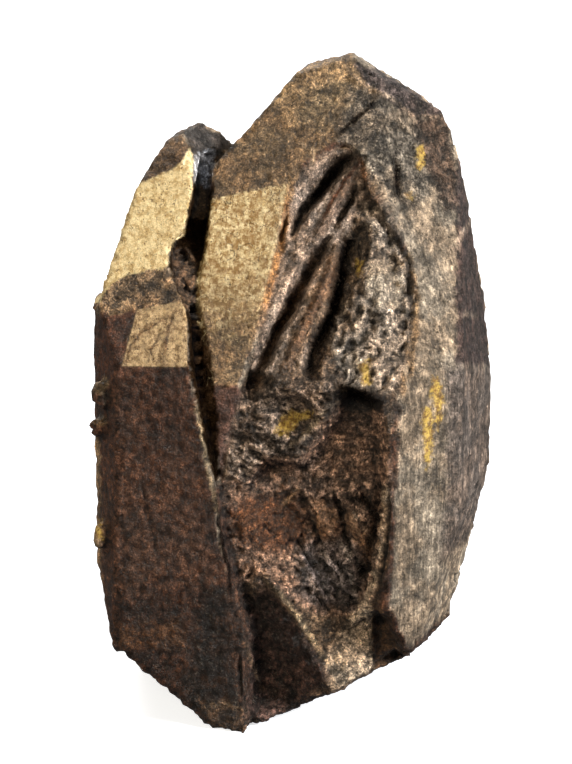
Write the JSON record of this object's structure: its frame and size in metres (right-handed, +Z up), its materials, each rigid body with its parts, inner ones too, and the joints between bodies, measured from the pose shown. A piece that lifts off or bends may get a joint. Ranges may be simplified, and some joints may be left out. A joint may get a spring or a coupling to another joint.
{
  "type": "zircon crystal group",
  "caption": "Dark brown zircon: a short crystal grown beside a taller one in parallel, with a deep cleft between them and a broken, furrowed front corner.",
  "frame": {"origin": "middle of the bounding box, at the flat broken base", "axes": "+Z up along the crystals, -Y towards the broken front corner, +X towards the taller crystal"},
  "size_m": [0.0276, 0.0192, 0.0449],
  "materials": {
    "zircon": "dull to greasy natural crystal faces"
  },
  "bodies": {
    "root": {"zircon_crystals": "zircon"}
  },
  "joints": []
}
